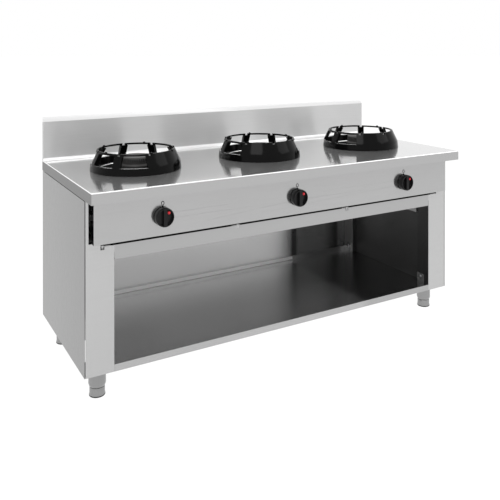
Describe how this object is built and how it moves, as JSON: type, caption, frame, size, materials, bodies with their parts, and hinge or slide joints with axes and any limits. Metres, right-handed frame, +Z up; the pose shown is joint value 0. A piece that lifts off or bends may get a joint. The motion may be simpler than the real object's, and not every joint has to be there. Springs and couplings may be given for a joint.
{
  "type": "gas wok range",
  "caption": "Free-standing gas wok range: burners in conical iron rings on a worktop with a splashback, front knobs, pull-out drip trays, open shelf bay, adjustable feet.",
  "frame": {"origin": "on the floor, under the middle of the worktop", "axes": "+X to the user's right, +Y from the user's side to the rear, +Z up"},
  "size_m": [1.8, 0.75, 0.983],
  "materials": {
    "stainless_steel": "fine brushed",
    "ring_iron": "black enamelled casting",
    "burner_iron": "dark grey casting",
    "bowl_enamel": "black enamel",
    "knob_plastic": "satin black",
    "brass": "machined",
    "zinc_steel": "bright zinc",
    "pipe_aluminium": "drawn tube",
    "inner_steel": "galvanised, dull",
    "pilot_steel": "heat darkened"
  },
  "bodies": {
    "root": {"back_panel": "stainless_steel", "base_plates": "inner_steel", "bottom_shelf": "stainless_steel", "burner_bars": "inner_steel", "burner_body_1": "burner_iron", "burner_body_2": "burner_iron", "burner_body_3": "burner_iron", "burner_bowl_1": "bowl_enamel", "burner_bowl_2": "bowl_enamel", "burner_bowl_3": "bowl_enamel", "burner_pipe_1": "pipe_aluminium", "burner_pipe_2": "pipe_aluminium", "burner_pipe_3": "pipe_aluminium", "control_panel": "stainless_steel", "flame_probes": "pilot_steel", "front_beam": "stainless_steel", "front_frame": "stainless_steel", "gas_manifold": "inner_steel", "gas_valve_1": "brass", "gas_valve_2": "brass", "gas_valve_3": "brass", "injectors": "brass", "inner_wall_left": "stainless_steel", "inner_wall_right": "stainless_steel", "leg_front_left": "stainless_steel", "leg_front_right": "stainless_steel", "leg_nuts": "zinc_steel", "leg_rear_left": "stainless_steel", "leg_rear_right": "stainless_steel", "pilot_burners": "pilot_steel", "rear_cross_rail": "stainless_steel", "rear_post_left": "stainless_steel", "rear_post_right": "stainless_steel", "shelf_screws": "zinc_steel", "side_panel_left": "stainless_steel", "side_panel_right": "stainless_steel", "side_rails": "stainless_steel", "splashback": "stainless_steel", "tray_runners": "stainless_steel", "worktop": "stainless_steel"},
    "burner_crown_1": {"burner_crown_1": "burner_iron"},
    "burner_crown_2": {"burner_crown_2": "burner_iron"},
    "burner_crown_3": {"burner_crown_3": "burner_iron"},
    "drip_tray_1": {"drip_tray_1": "stainless_steel"},
    "drip_tray_2": {"drip_tray_2": "stainless_steel"},
    "drip_tray_3": {"drip_tray_3": "stainless_steel"},
    "foot_front_left": {"foot_front_left": "stainless_steel"},
    "foot_front_right": {"foot_front_right": "stainless_steel"},
    "foot_rear_left": {"foot_rear_left": "stainless_steel"},
    "foot_rear_right": {"foot_rear_right": "stainless_steel"},
    "knob_1": {"knob_1": "knob_plastic"},
    "knob_2": {"knob_2": "knob_plastic"},
    "knob_3": {"knob_3": "knob_plastic"},
    "valve_stem_1": {"valve_stem_1": "zinc_steel"},
    "valve_stem_2": {"valve_stem_2": "zinc_steel"},
    "valve_stem_3": {"valve_stem_3": "zinc_steel"},
    "wok_ring_1": {"wok_ring_1": "ring_iron"},
    "wok_ring_2": {"wok_ring_2": "ring_iron"},
    "wok_ring_3": {"wok_ring_3": "ring_iron"}
  },
  "joints": [
    {"name": "knob_push_1", "type": "slide", "parent": "root", "child": "valve_stem_1", "axis": [0, 1, 0], "range_m": [0, 0.003], "stiffness_N_per_m": 1500, "springref_m": -0.002},
    {"name": "knob_turn_1", "type": "hinge", "parent": "valve_stem_1", "child": "knob_1", "pos_m": [-0.61, -0.333, 0.66], "axis": [0, -1, 0], "range_deg": [0, 240]},
    {"name": "wok_ring_lift_1", "type": "slide", "parent": "root", "child": "wok_ring_1", "axis": [0, 0, 1], "range_m": [0, 0.15]},
    {"name": "burner_crown_lift_1", "type": "slide", "parent": "root", "child": "burner_crown_1", "axis": [0, 0, 1], "range_m": [0, 0.12]},
    {"name": "drip_tray_pull_1", "type": "slide", "parent": "root", "child": "drip_tray_1", "axis": [0, -1, 0], "range_m": [0, 0.5]},
    {"name": "knob_push_2", "type": "slide", "parent": "root", "child": "valve_stem_2", "axis": [0, 1, 0], "range_m": [0, 0.003], "stiffness_N_per_m": 1500, "springref_m": -0.002},
    {"name": "knob_turn_2", "type": "hinge", "parent": "valve_stem_2", "child": "knob_2", "pos_m": [0, -0.333, 0.66], "axis": [0, -1, 0], "range_deg": [0, 240]},
    {"name": "wok_ring_lift_2", "type": "slide", "parent": "root", "child": "wok_ring_2", "axis": [0, 0, 1], "range_m": [0, 0.15]},
    {"name": "burner_crown_lift_2", "type": "slide", "parent": "root", "child": "burner_crown_2", "axis": [0, 0, 1], "range_m": [0, 0.12]},
    {"name": "drip_tray_pull_2", "type": "slide", "parent": "root", "child": "drip_tray_2", "axis": [0, -1, 0], "range_m": [0, 0.5]},
    {"name": "knob_push_3", "type": "slide", "parent": "root", "child": "valve_stem_3", "axis": [0, 1, 0], "range_m": [0, 0.003], "stiffness_N_per_m": 1500, "springref_m": -0.002},
    {"name": "knob_turn_3", "type": "hinge", "parent": "valve_stem_3", "child": "knob_3", "pos_m": [0.6, -0.333, 0.66], "axis": [0, -1, 0], "range_deg": [0, 240]},
    {"name": "wok_ring_lift_3", "type": "slide", "parent": "root", "child": "wok_ring_3", "axis": [0, 0, 1], "range_m": [0, 0.15]},
    {"name": "burner_crown_lift_3", "type": "slide", "parent": "root", "child": "burner_crown_3", "axis": [0, 0, 1], "range_m": [0, 0.12]},
    {"name": "drip_tray_pull_3", "type": "slide", "parent": "root", "child": "drip_tray_3", "axis": [0, -1, 0], "range_m": [0, 0.5]},
    {"name": "foot_height_front_left", "type": "slide", "parent": "root", "child": "foot_front_left", "axis": [0, 0, -1], "range_m": [0, 0.03]},
    {"name": "foot_height_front_right", "type": "slide", "parent": "root", "child": "foot_front_right", "axis": [0, 0, -1], "range_m": [0, 0.03]},
    {"name": "foot_height_rear_left", "type": "slide", "parent": "root", "child": "foot_rear_left", "axis": [0, 0, -1], "range_m": [0, 0.03]},
    {"name": "foot_height_rear_right", "type": "slide", "parent": "root", "child": "foot_rear_right", "axis": [0, 0, -1], "range_m": [0, 0.03]}
  ]
}
